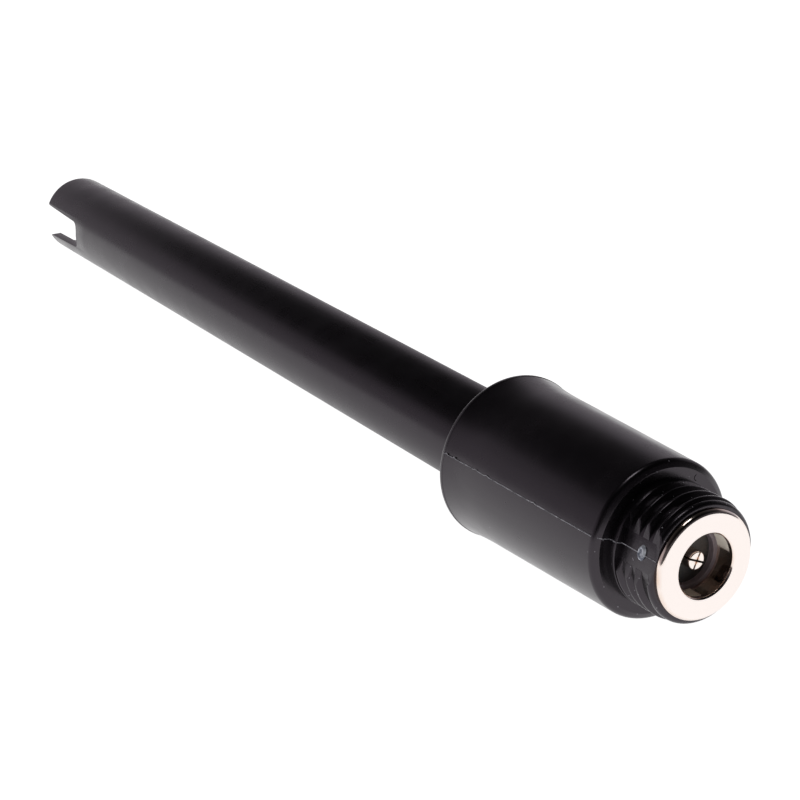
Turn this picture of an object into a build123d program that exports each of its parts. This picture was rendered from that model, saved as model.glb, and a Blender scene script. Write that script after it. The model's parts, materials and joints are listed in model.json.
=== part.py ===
from build123d import *
from math import asin, atan2, cos, degrees, hypot, radians, sin, sqrt
import os

# A screw-in combination pH electrode, all sizes in millimetres.
# Every piece is drawn upright, with Z as the electrode's axis: Z is 0 at the connector face and
# grows towards the glass bulb, and X points to the side that is uppermost when it lies at rest.
# At the end the pieces are laid down together, on the lip of the head and the end of the tube.

# Whole electrode
overall_length = 108.5
tube_diameter = 8.0
tube_wall = 0.9
tube_end_rounding = 0.35
tube_bore_rounding = 0.15
tube_spigot_diameter = 7.6
tube_spigot_length = 10.7

# Guard prongs at the bulb end, two slots with slightly flared sides
slot_depth = 8.2
slot_base_width = 2.78
slot_mouth_width = 3.4
slot_base_rounding = 1.0
prong_corner_rounding = 0.4

# Head moulding: collar, thread and shoulder in front of the barrel
collar_diameter = 9.5
collar_rounding = 0.35
collar_length = 0.45
thread_root_diameter = 9.0
thread_crest_diameter = 9.84
thread_pitch = 1.1
thread_crest_width = 0.22
thread_root_width = 0.78
thread_root_bite = 0.3
thread_half_turn_span = 150.0
first_crest_setback = 0.4
threaded_length = 3.5
shoulder_diameter = 9.9
shoulder_length = 0.7
parting_angle = -73.5
thread_flat_spacing = 8.72
gate_mark_diameter = 1.1
gate_mark_height = 0.25
gate_mark_from_collar = 1.5

# Head moulding: barrel
front_land_diameter = 11.5
front_bevel_length = 0.15
front_bevel_diameter = 12.1
barrel_front_diameter = 12.68
front_edge_length = 0.6
barrel_rear_diameter = 13.24
lip_diameter = 13.76
lip_rounding = 0.35
barrel_length = 19.55
flare_length = 4.0
lip_band_length = 0.5
tube_glue_gap = 0.05

# Coaxial connector
ring_proud = 0.5
ring_face_diameter = 7.86
ring_side_length = 0.13
shell_diameter = 6.6
shell_bore_diameter = 4.96
shell_bore_chamfer = 0.12
shell_length = 9.0
shell_groove_start = 4.0
shell_groove_length = 1.0
shell_groove_depth = 0.35
shell_tag_length = 2.0
shell_tag_width = 1.6
insulator_setback = 1.8
insulator_recess_diameter = 4.28
insulator_recess_depth = 0.5
pin_diameter = 1.46
pin_setback = 1.1
pin_end_chamfer = 0.12
pin_slot_width = 0.16
pin_slot_depth = 2.4
pin_slot_angle = -65.0
pin_flange_diameter = 2.3
pin_flange_start = 5.0
pin_flange_length = 0.8
pin_tail_length = 2.0
solder_cup_diameter = 0.84
solder_cup_depth = 1.4

# Glass electrode, its filling and its wire
stem_diameter = 4.0
stem_wall = 0.5
bulb_diameter = 5.0
bulb_wall = 0.3
bulb_setback = 6.1
stem_top = 24.0
stem_plug_length = 4.0
silver_wire_diameter = 0.4
inner_wire_end = 92.0
inner_chloride_length = 6.0
chloride_thickness = 0.15

# Reference half cell between stem and tube
upper_seal_length = 3.0
lower_seal_length = 3.0
lower_seal_setback = 11.0
reference_wire_end = 70.0
reference_chloride_length = 10.0
junction_diameter = 0.8

# Leads between the connector and the silver wires
lead_diameter = 0.5
lead_sleeve_wall = 0.25
lead_sleeve_gap = 0.4
splice_diameter = 0.9
splice_length = 2.0
splice_middle = 19.6
shell_solder_length = 1.2
shell_solder_diameter = 1.1
shell_solder_film = 0.05

# Sizes that follow from the ones above
tube_radius = tube_diameter / 2
tube_bore = tube_radius - tube_wall
spigot_radius = tube_spigot_diameter / 2
stem_radius = stem_diameter / 2
stem_bore = stem_radius - stem_wall
annulus_middle = (stem_radius + tube_bore) / 2
reference_side = -annulus_middle  # the heavier side, so it lies lowest
junction_side = annulus_middle
thread_start = ring_proud + collar_length
thread_end = thread_start + threaded_length
face_start = thread_end + shoulder_length
rear_face = face_start + barrel_length
tube_start = rear_face - tube_spigot_length
slot_base = overall_length - slot_depth
lower_seal_end = overall_length - lower_seal_setback
lower_seal_start = lower_seal_end - lower_seal_length
upper_seal_end = stem_top + upper_seal_length
bulb_middle = overall_length - bulb_setback - bulb_diameter / 2
pin_tail_end = shell_length + pin_tail_length
solder_cup_base = pin_tail_end - solder_cup_depth
tag_inside = annulus_middle + lead_diameter / 2 + shell_solder_film
reference_lead_start = shell_length + (shell_tag_length - shell_solder_length) / 2
overlap = 1.0


def lathe(outline):
    """Turn a flat outline about the axis. It is drawn with x as radius and y as axial place."""
    return revolve(Plane.XZ * outline, Axis.Z)


def rounded(outline, corners, radius):
    """Round the corners of a flat outline that lie nearest to the given points."""
    picked = [outline.vertices().sort_by_distance(corner)[0] for corner in corners]
    return fillet(picked, radius)


def bevelled(outline, corners, length):
    """Bevel the corners of a flat outline that lie nearest to the given points."""
    picked = [outline.vertices().sort_by_distance(corner)[0] for corner in corners]
    return chamfer(picked, length)


def sleeve(outer_radius, inner_radius, start, end):
    """A plain ring between two radii and two axial places."""
    corners = [(inner_radius, start), (outer_radius, start), (outer_radius, end), (inner_radius, end)]
    return lathe(make_face(Polyline(corners, close=True)))


def rod(radius, start, end, offset=0.0):
    """A plain rod along the axis, or beside it by an offset towards the upper side."""
    return Pos(offset, 0, start) * Cylinder(
        radius, end - start, align=(Align.CENTER, Align.CENTER, Align.MIN)
    )


def slab(width, depth, start, end):
    """A rectangular bar along the axis, used to cut slots and flats."""
    return Pos(0, 0, start) * Box(width, depth, end - start, align=(Align.CENTER, Align.CENTER, Align.MIN))


def make_head_blank():
    """The head's outside without its thread: collar, root cylinder, shoulder, bevels, barrel and lip."""
    collar = collar_diameter / 2
    root = thread_root_diameter / 2
    shoulder = shoulder_diameter / 2
    land = (front_land_diameter / 2, face_start)
    bevel = (front_bevel_diameter / 2, face_start + front_bevel_length)
    barrel_front = (barrel_front_diameter / 2, face_start + front_edge_length)
    barrel_rear = (barrel_rear_diameter / 2, rear_face - flare_length)
    lip_front = (lip_diameter / 2, rear_face - lip_band_length)
    lip_rear = (lip_diameter / 2, rear_face)
    barrel_line = Line(barrel_front, barrel_rear)
    edges = [
        Polyline((0, ring_proud), (collar, ring_proud), (collar, thread_start), (root, thread_start)),
        Polyline((root, thread_start), (root, thread_end), (shoulder, thread_end), (shoulder, face_start)),
        Polyline((shoulder, face_start), land, bevel, barrel_front),
        barrel_line,
        TangentArc(barrel_rear, lip_front, tangent=barrel_line % 1),
        Polyline(lip_front, lip_rear, (0, rear_face), (0, ring_proud)),
    ]
    outline = Sketch() + make_face(Curve() + edges)
    outline = rounded(outline, [(collar, ring_proud)], collar_rounding)
    outline = rounded(outline, [lip_rear], lip_rounding)
    return lathe(outline)


def make_half_turn():
    """The ridge of the thread over one side of the neck, its foot sunk into the root cylinder."""
    root = thread_root_diameter / 2
    crest = thread_crest_diameter / 2 - root
    slope = (thread_root_width - thread_crest_width) / 2 / crest
    foot = thread_root_width / 2 + thread_root_bite * slope
    section = make_face(
        Polyline(
            (-thread_root_bite, -foot),
            (crest, -thread_crest_width / 2),
            (crest, thread_crest_width / 2),
            (-thread_root_bite, foot),
            close=True,
        )
    )
    rise = thread_pitch * thread_half_turn_span / 360
    path = Helix(thread_pitch, rise, root, center=(0, 0, -rise / 2))
    start = Plane(origin=path @ 0, x_dir=(1, 0, 0), z_dir=path % 0)
    ridge = sweep(start * section, path=path, is_frenet=True)
    return Rot(0, 0, -thread_half_turn_span / 2) * ridge


def make_head():
    """The whole head moulding."""
    body = make_head_blank()

    # The thread is a ridge over each side in turn, half a pitch further on each time.
    half_turn = make_half_turn()
    first_crest = thread_start + first_crest_setback
    half_turns = int(2 * (thread_end - first_crest) / thread_pitch) + 2
    for count in range(half_turns):
        place = Pos(0, 0, first_crest + count * thread_pitch / 2)
        body += place * Rot(0, 0, parting_angle + 90 + 180 * count) * half_turn

    # The mould's parting faces leave a flat down each side of the collar and thread.
    across = thread_flat_spacing / 2
    for side in (0, 180):
        cut = Pos(across + collar_diameter / 2, 0, 0) * slab(
            collar_diameter, 2 * collar_diameter, ring_proud - overlap, thread_end
        )
        body -= Rot(0, 0, parting_angle + side) * cut

    # The sprue was broken off one of the flats.
    gate = Pos(across, 0, ring_proud + gate_mark_from_collar) * Rot(0, 90, 0) * Cone(
        gate_mark_diameter / 2,
        gate_mark_diameter / 2 - gate_mark_height,
        gate_mark_height,
        align=(Align.CENTER, Align.CENTER, Align.MIN),
    )
    body += Rot(0, 0, parting_angle) * gate

    # The bore is moulded on the connector shell, groove and all, and opens into the spigot's socket.
    body -= rod(shell_diameter / 2, ring_proud - overlap, tube_start)
    body -= rod(spigot_radius + tube_glue_gap, tube_start, rear_face + overlap)
    groove = sleeve(
        shell_diameter / 2 + overlap,
        shell_diameter / 2 - shell_groove_depth,
        shell_groove_start,
        shell_groove_start + shell_groove_length,
    )
    rib = groove & rod(shell_diameter / 2, shell_groove_start, shell_groove_start + shell_groove_length)
    return body + rib


def make_contact_shell():
    """The plated ring and barrel: the ring's rounded edge stands proud of the collar."""
    ring_radius = ring_face_diameter / 2 + ring_proud - ring_side_length
    barrel = shell_diameter / 2
    bore = shell_bore_diameter / 2
    outline = make_face(
        Polyline(
            (bore, 0),
            (ring_radius, 0),
            (ring_radius, ring_proud),
            (barrel, ring_proud),
            (barrel, shell_groove_start),
            (barrel - shell_groove_depth, shell_groove_start),
            (barrel - shell_groove_depth, shell_groove_start + shell_groove_length),
            (barrel, shell_groove_start + shell_groove_length),
            (barrel, shell_length),
            (bore, shell_length),
            close=True,
        )
    )
    outline = rounded(Sketch() + outline, [(ring_radius, 0)], ring_proud - ring_side_length)
    outline = bevelled(outline, [(bore, 0)], shell_bore_chamfer)

    # The tag's inner face leaves only a film of solder to the lead.
    tag = sleeve(barrel, bore, shell_length, shell_length + shell_tag_length)
    tag &= Pos(-tag_inside, 0, 0) * slab(
        2 * barrel, shell_tag_width, shell_length, shell_length + shell_tag_length
    )
    tag -= Pos(barrel - tag_inside, 0, 0) * slab(
        2 * barrel, 2 * barrel, shell_length, shell_length + shell_tag_length
    )
    return lathe(outline) + tag


def make_centre_pin():
    """The turned pin: slotted end, flange that locks it in the insulator, and a cup for the lead."""
    radius = pin_diameter / 2
    flange = pin_flange_diameter / 2
    flange_end = pin_flange_start + pin_flange_length
    cup = solder_cup_diameter / 2
    outline = make_face(
        Polyline(
            (0, pin_setback),
            (radius, pin_setback),
            (radius, pin_flange_start),
            (flange, pin_flange_start),
            (flange, flange_end),
            (radius, flange_end),
            (radius, pin_tail_end),
            (cup, pin_tail_end),
            (cup, solder_cup_base),
            (0, solder_cup_base),
            close=True,
        )
    )
    outline = bevelled(Sketch() + outline, [(radius, pin_setback)], pin_end_chamfer)
    pin = lathe(outline)
    for turn in (0, 90):
        slot = slab(pin_diameter + overlap, pin_slot_width, pin_setback - overlap, pin_setback + pin_slot_depth)
        pin -= Rot(0, 0, pin_slot_angle + turn) * slot
    return pin


def make_contact_insulator():
    """The insulator moulded round the pin, with a shallow recess at its front."""
    outer = shell_bore_diameter / 2
    flange_end = pin_flange_start + pin_flange_length
    body = rod(outer, insulator_setback, shell_length)
    body -= rod(insulator_recess_diameter / 2, insulator_setback - overlap, insulator_setback + insulator_recess_depth)
    body -= rod(pin_diameter / 2, insulator_setback, shell_length + overlap)
    body -= rod(pin_flange_diameter / 2, pin_flange_start, flange_end)
    return body


def make_shaft_tube():
    """The tube: a spigot glued into the head, a shoulder against it, and two prongs round the bulb."""
    outline = make_face(
        Polyline(
            (tube_bore, tube_start),
            (spigot_radius, tube_start),
            (spigot_radius, rear_face),
            (tube_radius, rear_face),
            (tube_radius, overall_length),
            (tube_bore, overall_length),
            close=True,
        )
    )
    outline = rounded(Sketch() + outline, [(tube_radius, overall_length)], tube_end_rounding)
    outline = rounded(outline, [(tube_bore, overall_length)], tube_bore_rounding)
    base = slot_base_width / 2
    mouth = slot_mouth_width / 2
    beyond = overall_length + overlap
    cutter = make_face(
        Polyline(
            (-base, slot_base),
            (base, slot_base),
            (mouth, overall_length),
            (tube_diameter, overall_length),
            (tube_diameter, beyond),
            (-tube_diameter, beyond),
            (-tube_diameter, overall_length),
            (-mouth, overall_length),
            close=True,
        )
    )
    cutter = rounded(Sketch() + cutter, [(-base, slot_base), (base, slot_base)], slot_base_rounding)
    mouths = [(-mouth, overall_length), (mouth, overall_length)]
    cutter = rounded(cutter, mouths, prong_corner_rounding)
    return lathe(outline) - extrude(Plane.XZ * cutter, amount=tube_diameter, both=True)


def blown_outline(stem, bulb):
    """Half the outline of a stem of one radius that ends in a round bulb of another."""
    joint = bulb_middle - sqrt(bulb**2 - stem**2)
    edges = [
        Polyline((0, stem_top), (stem, stem_top), (stem, joint)),
        ThreePointArc((stem, joint), (bulb, bulb_middle), (0, bulb_middle + bulb)),
        Line((0, bulb_middle + bulb), (0, stem_top)),
    ]
    return make_face(Curve() + edges)


def make_glass_electrode():
    """The stem and bulb, blown in one piece and open at the top of the stem."""
    outside = lathe(blown_outline(stem_radius, bulb_diameter / 2))
    inside = lathe(blown_outline(stem_bore, bulb_diameter / 2 - bulb_wall))
    return outside - inside


def make_silver_wire(end, offset):
    """A silver wire from its splice down to its end."""
    return rod(silver_wire_diameter / 2, splice_middle, end, offset)


def make_chloride_tip(end, length, offset):
    """The silver chloride coating round the last stretch of a wire and over its end."""
    coated = rod(silver_wire_diameter / 2 + chloride_thickness, end - length, end + chloride_thickness, offset)
    return coated - rod(silver_wire_diameter / 2, splice_middle, end, offset)


def make_stem_plug():
    """The plug in the top of the stem, pierced by the inner wire."""
    return sleeve(stem_bore, silver_wire_diameter / 2, stem_top, stem_top + stem_plug_length)


def make_inner_buffer():
    """The filling of the stem and bulb, round the wire and its coated tip."""
    filling = lathe(blown_outline(stem_bore, bulb_diameter / 2 - bulb_wall))
    filling -= rod(stem_bore, stem_top - overlap, stem_top + stem_plug_length)
    coating = silver_wire_diameter / 2 + chloride_thickness
    filling -= rod(coating, inner_wire_end - inner_chloride_length, inner_wire_end + chloride_thickness)
    return filling - rod(silver_wire_diameter / 2, stem_top, inner_wire_end)


def make_reference_gel():
    """The gel between stem and tube, round the reference wire and its coated tip."""
    gel = sleeve(tube_bore, stem_radius, upper_seal_end, lower_seal_start)
    coating = silver_wire_diameter / 2 + chloride_thickness
    tip_start = reference_wire_end - reference_chloride_length
    gel -= rod(coating, tip_start, reference_wire_end + chloride_thickness, reference_side)
    return gel - rod(silver_wire_diameter / 2, stem_top, reference_wire_end, reference_side)


def make_upper_seal():
    """The ring that closes the gel at the top, pierced by the reference wire."""
    seal = sleeve(tube_bore, stem_radius, stem_top, upper_seal_end)
    return seal - rod(silver_wire_diameter / 2, stem_top - overlap, upper_seal_end + overlap, reference_side)


def make_reference_junction():
    """The porous rod through the lower seal, across from the reference wire."""
    return rod(junction_diameter / 2, lower_seal_start, lower_seal_end, junction_side)


def make_lower_seal():
    """The ring that holds the stem above the bulb, pierced by the porous rod."""
    seal = sleeve(tube_bore, stem_radius, lower_seal_start, lower_seal_end)
    return seal - rod(
        junction_diameter / 2, lower_seal_start - overlap, lower_seal_end + overlap, junction_side
    )


def make_lead(start, offset):
    """A copper lead from its connector contact to its splice."""
    return rod(lead_diameter / 2, start, splice_middle, offset)


def make_centre_lead_sleeve():
    """The insulation of the centre lead, bared for a short stretch at both ends."""
    inner = lead_diameter / 2
    end = splice_middle - splice_length / 2 - lead_sleeve_gap
    return sleeve(inner + lead_sleeve_wall, inner, pin_tail_end + lead_sleeve_gap, end)


def make_pin_solder():
    """The solder that fills the pin's cup round the lead."""
    return sleeve(solder_cup_diameter / 2, lead_diameter / 2, solder_cup_base, pin_tail_end)


def make_shell_solder():
    """The solder bead that holds the reference lead to the flat inner face of the shell's tag."""
    end = reference_lead_start + shell_solder_length
    bead = rod(shell_solder_diameter / 2, reference_lead_start, end, reference_side)
    bead -= rod(lead_diameter / 2, reference_lead_start - overlap, end + overlap, reference_side)
    beyond_tag = Pos(-tag_inside - shell_solder_diameter / 2, 0, 0) * slab(
        shell_solder_diameter, 2 * shell_solder_diameter, reference_lead_start, end
    )
    return bead - beyond_tag


def make_splice(offset):
    """The solder bead where a copper lead meets its silver wire end to end."""
    start = splice_middle - splice_length / 2
    bead = rod(splice_diameter / 2, start, start + splice_length, offset)
    bead -= rod(lead_diameter / 2, start - overlap, splice_middle, offset)
    return bead - rod(silver_wire_diameter / 2, splice_middle, start + splice_length + overlap, offset)


def make_potting(buried):
    """The resin that fills the space behind the connector, round everything that runs through it."""
    resin = rod(shell_diameter / 2, shell_length, tube_start) + rod(tube_bore, tube_start, stem_top)
    for piece in buried:
        for solid in piece.solids():
            resin -= solid
    return resin


def lay_down(pieces):
    """Lay the electrode on its lip and on its tube end, the box's middle over the origin."""
    lip_middle = (lip_diameter / 2 - lip_rounding, rear_face - lip_rounding)
    end_middle = (tube_radius - tube_end_rounding, overall_length - tube_end_rounding)
    drop = lip_middle[0] - end_middle[0]
    run = end_middle[1] - lip_middle[1]
    tilt = atan2(drop, run) + asin((lip_rounding - tube_end_rounding) / hypot(drop, run))
    resting = Plane(origin=(0, 0, 0), x_dir=(-sin(tilt), 0, cos(tilt)), z_dir=(-cos(tilt), 0, -sin(tilt)))
    laid = {name: resting.location * piece for name, piece in pieces.items()}
    ends = laid["contact_shell"].bounding_box().max.X, laid["shaft_tube"].bounding_box().min.X
    floor = end_middle[1] * sin(tilt) + end_middle[0] * cos(tilt) + tube_end_rounding
    shift = Pos(-sum(ends) / 2, 0, floor)
    print("axis tilt at rest, degrees:", round(degrees(tilt), 3))
    print("connector face centre at rest:", [round(v, 4) for v in (shift.position.X, 0.0, floor)])
    return {name: shift * piece for name, piece in laid.items()}


def main():
    pieces = {
        "head": make_head(),
        "contact_shell": make_contact_shell(),
        "contact_insulator": make_contact_insulator(),
        "centre_pin": make_centre_pin(),
        "shaft_tube": make_shaft_tube(),
        "glass_electrode": make_glass_electrode(),
        "inner_buffer": make_inner_buffer(),
        "inner_silver_wire": make_silver_wire(inner_wire_end, 0.0),
        "inner_chloride_tip": make_chloride_tip(inner_wire_end, inner_chloride_length, 0.0),
        "stem_plug": make_stem_plug(),
        "reference_silver_wire": make_silver_wire(reference_wire_end, reference_side),
        "reference_chloride_tip": make_chloride_tip(
            reference_wire_end, reference_chloride_length, reference_side
        ),
        "reference_gel": make_reference_gel(),
        "reference_junction": make_reference_junction(),
        "lower_seal": make_lower_seal(),
        "upper_seal": make_upper_seal(),
        "centre_lead": make_lead(solder_cup_base, 0.0),
        "centre_lead_sleeve": make_centre_lead_sleeve(),
        "reference_lead": make_lead(reference_lead_start, reference_side),
        "pin_solder": make_pin_solder(),
        "shell_solder": make_shell_solder(),
        "wire_splices": Compound(children=[make_splice(0.0), make_splice(reference_side)]),
    }
    in_resin = (
        "contact_shell",
        "centre_pin",
        "inner_silver_wire",
        "reference_silver_wire",
        "centre_lead",
        "centre_lead_sleeve",
        "reference_lead",
        "pin_solder",
        "shell_solder",
        "wire_splices",
    )
    pieces["potting"] = make_potting([pieces[name] for name in in_resin])

    os.makedirs("parts", exist_ok=True)
    for name, piece in lay_down(pieces).items():
        export_step(piece, f"parts/{name}.step")


main()
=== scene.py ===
import json
import logging
import math
from collections.abc import Callable
from dataclasses import dataclass, field
from enum import Enum

import bpy
from mathutils import Matrix, Vector


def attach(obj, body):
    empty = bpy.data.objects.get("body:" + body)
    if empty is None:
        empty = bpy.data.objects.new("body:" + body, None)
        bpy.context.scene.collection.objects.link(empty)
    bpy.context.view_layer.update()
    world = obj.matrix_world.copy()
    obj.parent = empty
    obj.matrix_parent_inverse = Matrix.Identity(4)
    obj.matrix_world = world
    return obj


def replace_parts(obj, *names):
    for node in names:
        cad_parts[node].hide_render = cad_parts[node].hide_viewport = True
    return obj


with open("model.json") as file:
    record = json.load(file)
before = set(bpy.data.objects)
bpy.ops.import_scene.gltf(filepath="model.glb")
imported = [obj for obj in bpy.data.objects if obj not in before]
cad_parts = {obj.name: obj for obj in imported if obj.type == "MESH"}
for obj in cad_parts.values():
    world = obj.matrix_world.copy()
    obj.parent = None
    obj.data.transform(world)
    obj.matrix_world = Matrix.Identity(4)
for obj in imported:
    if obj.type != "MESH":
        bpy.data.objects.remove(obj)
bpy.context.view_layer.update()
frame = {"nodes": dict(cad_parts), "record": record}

log = logging.getLogger("electrode")

Point = tuple[float, float]

# Pieces are drawn upright in millimetres: Z is the electrode's axis, 0 at the connector face and
# growing towards the bulb, and X points to the side that is uppermost at rest.
PER_METRE = 1000.0
FULL_TURN = 2 * math.pi
NEAR_PARTING = math.radians(-73.5)
ACROSS_AXIS = (1.0, 1.0, 0.0)
SHARP = 40.0


class Join(Enum):
    """How one solid is worked into another."""

    ADD = "UNION"
    CUT = "DIFFERENCE"


class Smoothness(Enum):
    """The largest angle, in degrees, between faces that are shaded as one surface."""

    TURNED = 28.0
    MOULDED = 38.0
    BLOWN = 60.0


class Side(Enum):
    """The two faces of the mould's parting plane, as turns about the axis."""

    NEAR = NEAR_PARTING
    FAR = NEAR_PARTING + math.pi


def resting_place() -> Matrix:
    """Find where the electrode lies, from the mounts in the record.

    Returns:
        The matrix from the upright drawing, in millimetres, to the row's frame, in metres.
    """
    mounts = {mount["name"]: mount for mount in frame["record"]["mounts"]}
    down = Vector(mounts["shaft"]["axis"]).normalized()
    side = Vector((0.0, 1.0, 0.0))
    up = side.cross(down)
    turn = Matrix((up, side, down)).transposed().to_4x4()
    return Matrix.Translation(mounts["connector_socket"]["pos_m"]) @ turn @ Matrix.Scale(1 / PER_METRE, 4)


RESTING = resting_place()


# Modelling steps that every piece shares


def only(piece: bpy.types.Object) -> None:
    """Leave object mode with this piece alone selected and active.

    Args:
        piece: The object to work on.
    """
    if bpy.context.mode != "OBJECT":
        bpy.ops.object.mode_set(mode="OBJECT")
    bpy.ops.object.select_all(action="DESELECT")
    piece.select_set(True)
    bpy.context.view_layer.objects.active = piece


def edit_all(piece: bpy.types.Object) -> None:
    """Open a piece in edit mode with all of it selected.

    Args:
        piece: The object to edit.
    """
    only(piece)
    bpy.ops.object.mode_set(mode="EDIT")
    bpy.ops.mesh.select_mode(type="VERT")
    bpy.ops.mesh.select_all(action="SELECT")


def edit_points(piece: bpy.types.Object, wanted: Callable[[Vector], bool]) -> None:
    """Open a piece in edit mode with some of its points selected.

    Args:
        piece: The object to edit.
        wanted: Says of a point's place whether it is selected.
    """
    only(piece)
    mesh = piece.data
    mesh.polygons.foreach_set("select", [False] * len(mesh.polygons))
    mesh.edges.foreach_set("select", [False] * len(mesh.edges))
    mesh.vertices.foreach_set("select", [wanted(vertex.co) for vertex in mesh.vertices])
    bpy.ops.object.mode_set(mode="EDIT")
    bpy.ops.mesh.select_mode(type="VERT")


def near(place: tuple[float, float, float], reach: float = 1e-3) -> Callable[[Vector], bool]:
    """Make a test for points close to a place.

    Args:
        place: The place, in millimetres.
        reach: How far away a point may be.

    Returns:
        The test, for edit_points.
    """
    middle = Vector(place)
    return lambda point: (point - middle).length < reach


def draw(name: str, points: list[Point], closed: bool = True) -> bpy.types.Object:
    """Draw an outline of radius and axial place, one extrusion after another.

    Args:
        name: The new object's name.
        points: The corners, each a radius and an axial place.
        closed: Whether the last corner is joined to the first.

    Returns:
        The outline, in the XZ plane.
    """
    if bpy.context.mode != "OBJECT":
        bpy.ops.object.mode_set(mode="OBJECT")
    bpy.ops.object.select_all(action="DESELECT")
    bpy.ops.mesh.primitive_plane_add(size=0.1)
    piece = bpy.context.object
    piece.name = name
    edit_all(piece)
    bpy.ops.mesh.merge(type="CENTER")
    bpy.ops.transform.translate(value=(points[0][0], 0.0, points[0][1]))
    for before, after in zip(points, points[1:]):
        step = (after[0] - before[0], 0.0, after[1] - before[1])
        bpy.ops.mesh.extrude_region_move(TRANSFORM_OT_translate={"value": step})
    if closed:
        ends = [near((radius, 0.0, place)) for radius, place in (points[0], points[-1])]
        edit_points(piece, lambda point: any(at_end(point) for at_end in ends))
        bpy.ops.mesh.edge_face_add()
    bpy.ops.object.mode_set(mode="OBJECT")
    return piece


def round_corner(outline: bpy.types.Object, corner: Point, radius: float, steps: int = 5) -> None:
    """Round one square corner of an outline.

    Args:
        outline: The outline from draw.
        corner: The corner's radius and axial place.
        radius: The rounding's radius.
        steps: How many edges the rounding gets.
    """
    edit_points(outline, near((corner[0], 0.0, corner[1])))
    bpy.ops.mesh.bevel(offset=radius, segments=steps, affect="VERTICES")
    bpy.ops.object.mode_set(mode="OBJECT")


def tidy(piece: bpy.types.Object) -> None:
    """Merge a mesh's doubles and point its faces outwards.

    Args:
        piece: A mesh in millimetres.
    """
    edit_all(piece)
    bpy.ops.mesh.remove_doubles(threshold=1e-4)
    bpy.ops.mesh.normals_make_consistent(inside=False)
    bpy.ops.object.mode_set(mode="OBJECT")


def turn(outline: bpy.types.Object, steps: int = 192) -> bpy.types.Object:
    """Turn an outline about the electrode's axis.

    Args:
        outline: The outline from draw.
        steps: How many faces go round.

    Returns:
        The same object, now a closed body.
    """
    edit_all(outline)
    bpy.ops.mesh.spin(
        steps=steps, angle=FULL_TURN, center=(0.0, 0.0, 0.0), axis=(0.0, 0.0, 1.0), use_auto_merge=True
    )
    bpy.ops.object.mode_set(mode="OBJECT")
    tidy(outline)
    return outline


def box(name: str, middle: tuple[float, float, float], size: tuple[float, float, float]) -> bpy.types.Object:
    """Make a plain block, which only ever cuts another piece.

    Args:
        name: The new object's name.
        middle: Its middle, in millimetres.
        size: Its sides, in millimetres.

    Returns:
        The block.
    """
    bpy.ops.object.select_all(action="DESELECT")
    bpy.ops.mesh.primitive_cube_add(size=1.0, location=middle, scale=size)
    block = bpy.context.object
    block.name = name
    bpy.ops.object.transform_apply(location=True, rotation=True, scale=True)
    return block


def swing(piece: bpy.types.Object, angle: float, rise: float = 0.0) -> None:
    """Turn a piece about the axis and lift it along the axis.

    Args:
        piece: The piece to move.
        angle: The turn, in radians.
        rise: The lift, in millimetres.
    """
    only(piece)
    piece.matrix_world = Matrix.Translation((0.0, 0.0, rise)) @ Matrix.Rotation(angle, 4, "Z")
    bpy.ops.object.transform_apply(location=True, rotation=True, scale=True)


def copy_of(piece: bpy.types.Object) -> bpy.types.Object:
    """Copy a piece, mesh and all.

    Args:
        piece: The piece to copy.

    Returns:
        The copy, with its own mesh.
    """
    only(piece)
    bpy.ops.object.duplicate()
    return bpy.context.object


def melt_together(pieces: list[bpy.types.Object]) -> bpy.types.Object:
    """Join meshes into the first of them.

    Args:
        pieces: The pieces to join.

    Returns:
        The first piece.
    """
    only(pieces[0])
    for piece in pieces:
        piece.select_set(True)
    bpy.ops.object.join()
    return pieces[0]


def work(body: bpy.types.Object, tool: bpy.types.Object, how: Join) -> None:
    """Add a solid to a body, or cut it away, and use the solid up.

    Args:
        body: The body that is changed.
        tool: The solid that is added or cut away.
        how: Whether it is added or cut away.
    """
    only(body)
    step = body.modifiers.new(how.name, "BOOLEAN")
    step.operation = how.value
    step.solver = "EXACT"
    step.object = tool
    bpy.ops.object.modifier_apply(modifier=step.name)
    bpy.data.objects.remove(tool, do_unlink=True)


def soften_edges(piece: bpy.types.Object, width: float, sharper_than: float, steps: int = 2) -> None:
    """Bevel the sharp edges of a piece.

    Args:
        piece: The piece.
        width: The bevel's width, in millimetres.
        sharper_than: The angle between faces above which an edge is bevelled, in degrees.
        steps: How many faces a bevel gets.
    """
    only(piece)
    step = piece.modifiers.new("edges", "BEVEL")
    step.width = width
    step.segments = steps
    step.limit_method = "ANGLE"
    step.angle_limit = math.radians(sharper_than)
    bpy.ops.object.modifier_apply(modifier=step.name)


def lay_down(piece: bpy.types.Object, finish: "Finish", smooth: Smoothness) -> bpy.types.Object:
    """Give a finished piece its place, its shading, its material and its body.

    Args:
        piece: The piece, upright and in millimetres.
        finish: What it is made of.
        smooth: How its faces are shaded.

    Returns:
        The same piece, in metres and at rest.
    """
    only(piece)
    piece.matrix_world = RESTING @ piece.matrix_world
    bpy.ops.object.transform_apply(location=True, rotation=True, scale=True)
    bpy.ops.object.shade_smooth_by_angle(angle=math.radians(smooth.value))
    piece.data.materials.clear()
    piece.data.materials.append(finish.material())
    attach(piece, "root")
    log.info("%s: %d faces, %s", piece.name, len(piece.data.polygons), finish.name)
    return piece


# Materials


def paint(code: str) -> tuple[float, float, float, float]:
    """Turn an sRGB hex colour to the linear one that shaders take.

    Args:
        code: Six hex digits after a hash.

    Returns:
        Red, green, blue and a full alpha.
    """
    parts = [int(code[at:at + 2], 16) / 255 for at in (1, 3, 5)]
    linear = [part / 12.92 if part <= 0.04045 else ((part + 0.055) / 1.055) ** 2.4 for part in parts]
    return (linear[0], linear[1], linear[2], 1.0)


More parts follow.
